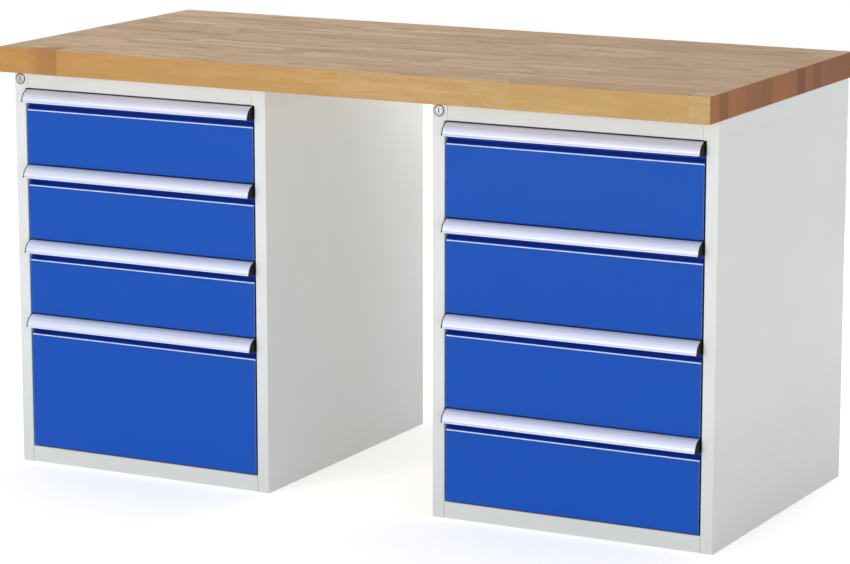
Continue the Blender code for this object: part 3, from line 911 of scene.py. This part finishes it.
def make_side(prefix, hand, place):
    """One side of a cabinet: the sheet, two uprights and a slide rail for each drawer."""
    side = "left" if hand < 0 else "right"
    name = f"{prefix}_{side}_side"
    piece(f"{name}_sheet", side_sheet(hand), "carcass_grey", "bench", place, (name,))
    for index, front in enumerate(UPRIGHT_FRONTS, start=1):
        mesh = UPRIGHTS[hand, front]
        piece(f"{name}_upright_{index}", mesh, "zinc_steel", "bench", place)
    for index, low, _ in drawer_cells(prefix):
        outline = inwards(hand, member(CABINET_MEMBER, SLIDE_RISE))
        parts = [extruded(outline, "XZ", SLIDE_FRONT, SLIDE_FRONT + SLIDE_LENGTH)]
        for front in UPRIGHT_FRONTS:
            inset = CABINET_MEMBER[0] + SLIDE_SHEET
            centre = (hand * (HALF_WIDTH - inset), front + UPRIGHT_WIDTH / 2, SLIDE_RISE)
            parts.append(dome(centre, "X", SCREW_HEAD))
        mesh = merged("slide_rail", parts)
        where = Vector(place) + Vector((0, 0, low))
        piece(f"{name}_rail_{index}", mesh, "zinc_steel", "bench", where)


def make_rails(prefix, place):
    """The top rail and the floor sheet with the bottom rail."""
    top = folded(
        [(FLANGE, CABINET_TOP), (0, CABINET_TOP), (0, OPENING_TOP), (FLANGE, OPENING_TOP)], SHEET
    )
    reach = HALF_WIDTH - POST_WIDTH - HEAD_WIDTH - SEAM
    mesh = extrusion("top_rail", top, "YZ", -reach, reach)
    stands_for = (f"{prefix}_top_rail",)
    piece(f"{prefix}_top_rail_channel", mesh, "carcass_grey", "bench", place, stands_for)
    rear = CABINET_DEPTH - 2 * SHEET - BASE_REAR_GAP
    path = [(rear, BASE_LIP), (rear, OPENING_BOTTOM), (0, OPENING_BOTTOM), (0, 0), (BASE_LIP, 0)]
    reach = HALF_WIDTH - POST_WIDTH - SEAM
    parts = [extruded(folded(path, SHEET), "YZ", -reach, reach)]
    for hand in (-1, 1):
        ends = sorted((hand * (reach - FLOOR_STRIP_OVERLAP), hand * (HALF_WIDTH - SHEET - GAP)))
        low = OPENING_BOTTOM - SHEET + FLOOR_STRIP_SETBACK
        high = OPENING_BOTTOM - FLOOR_STRIP_SETBACK
        strip_rear = rear - FLOOR_STRIP_REAR_GAP
        parts.append(block((ends[0], POST_DEPTH + GAP, low), (ends[1], strip_rear, high)))
    mesh = merged("base", parts)
    piece(f"{prefix}_base_sheet", mesh, "carcass_grey", "bench", place, (f"{prefix}_base",))


def make_back(prefix, place):
    """The rear sheet with a row of rivets along each side's flange."""
    low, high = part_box(f"{prefix}_back")
    low, high = low - Vector(place), high - Vector(place)
    parts = [block(low, high, BACK_EDGE)]
    span = high.z - low.z - 2 * RIVET_MARGIN
    for hand in (-1, 1):
        for i in range(RIVET_COUNT):
            height = low.z + RIVET_MARGIN + span * i / (RIVET_COUNT - 1)
            centre = (hand * (HALF_WIDTH - FLANGE / 2), CABINET_DEPTH, height)
            parts.append(dome(centre, "Y", RIVET_HEAD))
    mesh = merged("back_sheet", parts)
    piece(f"{prefix}_back_sheet", mesh, "carcass_grey", "bench", place, (f"{prefix}_back",))


# Drawers


def front_mesh(height):
    """A folded drawer front whose top steps back behind the handle."""
    low = DRAWER_GAP / 2
    top = height - DRAWER_GAP / 2
    bend = top - FRONT_BEND_DROP
    lid = top - HANDLE_DIP - HANDLE_FLANGE - GAP
    corners = [(FRONT_THICKNESS, low), (0, low), (0, bend), (RECESS_DEPTH, bend + RECESS_DEPTH)]
    corners += [(RECESS_DEPTH, lid), (FRONT_THICKNESS, lid)]
    outline = rounded(corners, FRONT_RADII, closed=True)
    half = FRONT_WIDTH / 2 - FRONT_INSET
    return extrusion("drawer_front", outline, "YZ", -half, half, FRONT_EDGE, 4)


def lip(tip, shape):
    """A groove or bead at the tip of the handle's hood."""
    centre, radius, start, end, segments = shape
    return arc(tip + Vector(centre), radius, math.radians(start), math.radians(end), segments)


def hood(top):
    """The hood's outer face from its top down to its tip, its groove, its bead, its inner face."""
    centre = Vector((
        HANDLE_RADIUS * math.sin(HANDLE_START_ANGLE),
        top - HANDLE_RADIUS * math.cos(HANDLE_START_ANGLE),
    ))
    first = math.pi / 2 + HANDLE_START_ANGLE
    last = math.pi / 2 + HANDLE_END_ANGLE
    step = first + HANDLE_STEP_START
    outer = arc(centre, HANDLE_RADIUS, first, step, 3)
    outer += arc(centre, HANDLE_RADIUS - HANDLE_STEP, step, step + HANDLE_STEP_END, 1)
    outer += arc(centre, HANDLE_RADIUS, step + HANDLE_STEP_AFTER, last, 24)
    inner = arc(centre, HANDLE_RADIUS - HANDLE_WALL, last, first, 20)
    return outer, lip(outer[-1], LIP_GROOVE), lip(outer[-1], LIP_BEAD), inner


def handle_mesh(height):
    """The handle's extrusion: the hood, a flange over the front's top and a leg behind."""
    top = height - DRAWER_GAP / 2
    outer, groove, bead, inner = hood(top)
    dip = top - HANDLE_DIP
    under = dip - HANDLE_FLANGE
    leg_back = RECESS_DEPTH - GAP
    leg_front = leg_back - HANDLE_FLANGE
    rear = FRONT_THICKNESS - HANDLE_REAR_SETBACK
    slope_top, slope_foot = HANDLE_DIP_SLOPE
    outline = [(rear, dip), (slope_foot, dip), (slope_top, top)]
    outline += outer + groove + bead + inner[:-1]
    outline += [(leg_front, under - HANDLE_LEG_STEP), (leg_front, top - HANDLE_LEG)]
    outline += [(leg_back, top - HANDLE_LEG), (leg_back, under), (rear, under)]
    outline = [Vector(point) for point in outline]
    half = FRONT_WIDTH / 2 - HANDLE_CAP
    return extrusion("handle", outline, "YZ", -half, half, HANDLE_EDGE, 1)


def cap_mesh(height, hand):
    """The handle's end cap: a plate of the hood's whole section with a softened rim."""
    top = height - DRAWER_GAP / 2
    outer, _, bead, _ = hood(top)
    foot = top - HANDLE_LEG - CAP_FOOT
    outline = [Vector((RECESS_DEPTH - GAP, top)), Vector((HANDLE_DIP_SLOPE[0], top))]
    outline += outer + bead[:CAP_BEAD_POINTS] + [Vector((RECESS_DEPTH - GAP, foot))]
    half = FRONT_WIDTH / 2
    ends = sorted((hand * (half - HANDLE_CAP + CAP_GAP), hand * half))
    return extrusion("handle_cap", outline, "YZ", ends[0], ends[1], CAP_EDGE, 2)


def divider_slots(front, half, low, high):
    """One mesh of all the slots to cut into the two sides of a tray."""
    slots = []
    inside, outside = half - SLOT_CUT_INSIDE, half + SLOT_CUT_OUTSIDE
    rows = int((high - low - SLOT_ROW_MARGIN) / SLOT_ROW_PITCH)
    levels = [low + SLOT_ROW_RISE + i * SLOT_ROW_PITCH for i in range(rows)]
    for level in levels:
        for i in range(int((TRAY_DEPTH - SLOT_END_MARGIN) / SLOT_PITCH)):
            middle = front + SLOT_START + i * SLOT_PITCH
            for side in (-1, 1):
                ends = sorted((side * inside, side * outside))
                slots.append(block(
                    (ends[0], middle - SLOT_HALF_WIDTH, level),
                    (ends[1], middle + SLOT_HALF_WIDTH, level + SLOT_HEIGHT), SLOT_EDGE,
                ))
    return merged("divider_slots", slots)


def tray_mesh(height):
    """A thin tray with hemmed rims and rows of divider slots in its sides."""
    half = HALF_WIDTH - TRAY_INSET
    front = FRONT_THICKNESS + 2 * GAP
    rear = front + TRAY_DEPTH
    low, high = TRAY_FLOOR_RISE, height - TRAY_TOP_DROP
    drop = high - TRAY_HEM_DROP
    path = [(-half + TRAY_HEM, drop), (-half + TRAY_HEM, high), (-half, high), (-half, low)]
    path += [(half, low), (half, high), (half - TRAY_HEM, high), (half - TRAY_HEM, drop)]
    outline = rounded(path, TRAY_RADII)
    outline = outline + offset(outline, DRAWER_SHEET, closed=False)[::-1]
    trough = extrusion(
        "trough", outline, "XZ", front + DRAWER_SHEET, rear - DRAWER_SHEET, TRAY_EDGE, 1
    )
    sides = bmesh.new()
    sides.from_mesh(cut(trough, divider_slots(front, half, low, high)))
    parts = [sides]
    inner = half - DRAWER_SHEET - TRAY_WALL_GAP
    floor = low + DRAWER_SHEET
    for wall, turn in ((front, 1), (rear, -1)):
        path = [(wall + turn * TRAY_HEM, drop), (wall + turn * TRAY_HEM, high), (wall, high)]
        path += [(wall, floor), (wall + turn * TRAY_WALL_FOOT, floor)]
        outer = rounded(path, TRAY_WALL_RADIUS)
        sheet = outer + offset(outer, turn * DRAWER_SHEET, closed=False)[::-1]
        parts.append(extruded(sheet, "YZ", -inner + TRAY_HEM, inner - TRAY_HEM, TRAY_EDGE, 1))
        for side in (-1, 1):
            ends = sorted((side * (inner - TRAY_HEM - TRAY_WALL_GAP), side * inner))
            span = sorted((wall, wall + turn * DRAWER_SHEET))
            foot, head = (ends[0], span[0], floor), (ends[1], span[1], high - TRAY_CORNER_DROP)
            parts.append(block(foot, head, TRAY_EDGE))
    return merged("tray", parts)


def make_drawer(prefix, index, place, height):
    """A drawer's front, handle, tray and runners, and the middle members of its slides."""
    name = f"{prefix}_drawer_{index}"
    slides = f"{name}_slides"
    shapes = DRAWER_MESHES[height]
    piece(f"{name}_face", shapes["front"], "front_blue", name, place, (f"{name}_front",))
    piece(f"{name}_grip", shapes["handle"], "handle_aluminium", name, place, (f"{name}_handle",))
    piece(f"{name}_pan", shapes["tray"], "tray_grey", name, place, (f"{name}_tray",))
    for hand, side in ((-1, "left"), (1, "right")):
        piece(f"{name}_cap_{side}", shapes["cap", hand], "handle_cap", name, place)
        outline = inwards(hand, member(DRAWER_MEMBER, SLIDE_RISE, faces_out=True))
        mesh = extrusion("drawer_member", outline, "XZ", SLIDE_FRONT, SLIDE_LENGTH)
        piece(f"{name}_runner_{side}", mesh, "zinc_steel", name, place)
        outline = inwards(hand, member(MIDDLE_MEMBER, SLIDE_RISE))
        mesh = extrusion("middle_member", outline, "XZ", MIDDLE_FRONT, MIDDLE_REAR)
        stands_for = (f"{name}_slide_{side}",)
        piece(f"{name}_middle_{side}", mesh, "zinc_steel", slides, place, stands_for)


# Central lock


def make_lock(prefix):
    """The lock's chrome rosette on its barrel, a black ring as painted shade in the gap round it,
    and a black block as painted shade in the plug's keyway.
    """
    low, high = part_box(f"{prefix}_lock_housing")
    centre = (low + high) / 2
    axis = Vector((centre.x, FRONT_PLANE, centre.z))
    radius = (high.x - low.x) / 2
    bore, back = ROSETTE_BORE, BARREL_DEPTH
    rim = radius - ROSETTE_RIM
    profile = [(bore, back), (bore, -0.0010), (bore + 0.0003, -0.0014), (bore + 0.0010, -0.0014)]
    profile += [(bore + 0.0013, -0.0020), (rim - 0.0008, -0.0020), (rim - 0.0002, -0.0016)]
    profile += [(rim, -0.0010), (rim, -0.0008), (BARREL_RADIUS, -0.0008)]
    profile += [(BARREL_RADIUS, back), (bore, back)]
    mesh = turned("rosette", profile)
    stands_for = (f"{prefix}_lock_housing",)
    piece(f"{prefix}_lock_rosette", mesh, "lock_chrome", "bench", axis, stands_for)
    # A black ring as painted shade in the gap round the rosette
    profile = [(GAP_SHADE_RING_BORE, -0.0007), (radius - 0.0003, -0.0007), (radius, -0.0005)]
    profile += [(radius, -0.0001), (GAP_SHADE_RING_BORE, -0.0001), (GAP_SHADE_RING_BORE, -0.0007)]
    piece(f"{prefix}_lock_washer", turned("gap_shade_ring", profile), "handle_cap", "bench", axis)
    plug = f"{prefix}_lock_plug"
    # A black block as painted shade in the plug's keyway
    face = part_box(plug)[0].y - FRONT_PLANE - KEYWAY_PROUD
    wide, tall = KEYWAY_HALF_WIDTH, KEYWAY_HALF_HEIGHT
    keyway_shade = block((-wide, face, -tall), (wide, face + KEYWAY_DEPTH, tall), 0.0001)
    piece(f"{prefix}_lock_keyway", merged("keyway_shade", [keyway_shade]), "handle_cap", plug, axis)
    keep_node(plug, "lock_chrome", LOCK_BEVEL)
    keep_node(f"{prefix}_lock_bar", "zinc_steel", LOCK_BEVEL)


# Assembly


def drawer_cells(prefix):
    """Number, low and high Z of each drawer's space, from the top down."""
    cells = []
    for index in range(1, 5):
        low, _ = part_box(f"{prefix}_drawer_{index}_front")
        _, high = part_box(f"{prefix}_drawer_{index}_handle")
        bottom, top = low.z - DRAWER_GAP / 2, high.z + DRAWER_GAP / 2
        cells.append((index, round(bottom, 5), round(top, 5)))
    return cells


UPRIGHTS = {
    (hand, front): upright_mesh(hand, front) for hand in (-1, 1) for front in UPRIGHT_FRONTS
}
DRAWER_MESHES = {}
for cabinet in ("left", "right"):
    for _, cell_low, cell_high in drawer_cells(cabinet):
        cell_height = round(cell_high - cell_low, 4)
        if cell_height not in DRAWER_MESHES:
            DRAWER_MESHES[cell_height] = {
                "front": front_mesh(cell_height),
                "handle": handle_mesh(cell_height),
                "tray": tray_mesh(cell_height),
                ("cap", -1): cap_mesh(cell_height, -1),
                ("cap", 1): cap_mesh(cell_height, 1),
            }

make_worktop()
for cabinet in ("left", "right"):
    outer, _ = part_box(f"{cabinet}_left_side")
    origin = Vector((outer.x + HALF_WIDTH, FRONT_PLANE, 0))
    for hand in (-1, 1):
        make_side(cabinet, hand, origin)
    make_rails(cabinet, origin)
    make_back(cabinet, origin)
    keep_node(f"{cabinet}_top_panel", "carcass_grey", PANEL_BEVEL)
    for number, cell_low, cell_high in drawer_cells(cabinet):
        foot = origin + Vector((0, 0, cell_low))
        make_drawer(cabinet, number, foot, round(cell_high - cell_low, 4))
    make_lock(cabinet)


# Stage, lights and camera


def make_floor():
    """A wide pale floor just under the bench."""
    mesh = bpy.data.meshes.new("floor")
    bm = bmesh.new()
    bmesh.ops.create_grid(bm, x_segments=2, y_segments=2, size=40.0)
    bm.to_mesh(mesh)
    bm.free()
    mesh.materials.append(floor_paint("pale_floor"))
    floor = bpy.data.objects.new("floor", mesh)
    bpy.context.scene.collection.objects.link(floor)
    floor.location.z = -FLOOR_DROP


def make_area_light(name, place, target, size, power):
    """A rectangular light that looks at a target; size is its width and height."""
    data = bpy.data.lights.new(name, "AREA")
    data.shape = "RECTANGLE"
    data.size, data.size_y = size
    data.energy = power
    light = bpy.data.objects.new(name, data)
    bpy.context.scene.collection.objects.link(light)
    light.location = place
    direction = Vector(target) - Vector(place)
    light.rotation_euler = direction.to_track_quat("-Z", "Y").to_euler()


def make_world():
    """An even white studio around everything."""
    world = bpy.data.worlds.new("studio")
    bpy.context.scene.world = world
    world.use_nodes = True
    background = world.node_tree.nodes["Background"]
    background.inputs["Color"].default_value = (1.0, 1.0, 1.0, 1.0)
    background.inputs["Strength"].default_value = WORLD_STRENGTH


def make_camera():
    """The photograph's view, solved from the corners of the slab and the cabinets."""
    data = bpy.data.cameras.new("camera")
    data.lens = CAMERA_LENS
    data.sensor_width = 36.0
    data.clip_end = 100.0
    camera = bpy.data.objects.new("camera", data)
    bpy.context.scene.collection.objects.link(camera)
    camera.location = CAMERA_PLACE
    camera.rotation_euler = (math.radians(90 - CAMERA_DIP), 0, math.radians(CAMERA_TURN))
    bpy.context.scene.camera = camera


make_floor()
make_world()
make_area_light("key", (-2.6, -4.9, 4.0), (0, 0, 0.4), (0.7, 1.2), 28)
make_area_light("front_fill", (-1.6, -6.0, 1.5), (0, 0, 0.4), (3.0, 1.6), 92)
make_area_light("corner_fill", (4.3, -3.6, 1.9), (0, 0, 0.4), (0.5, 1.6), 9)
make_area_light("rear_fill", (0.55, 2.9, 0.55), (-0.15, 0.0, 0.35), (0.7, 0.8), 24)
make_camera()
bpy.context.scene.view_settings.view_transform = "Standard"
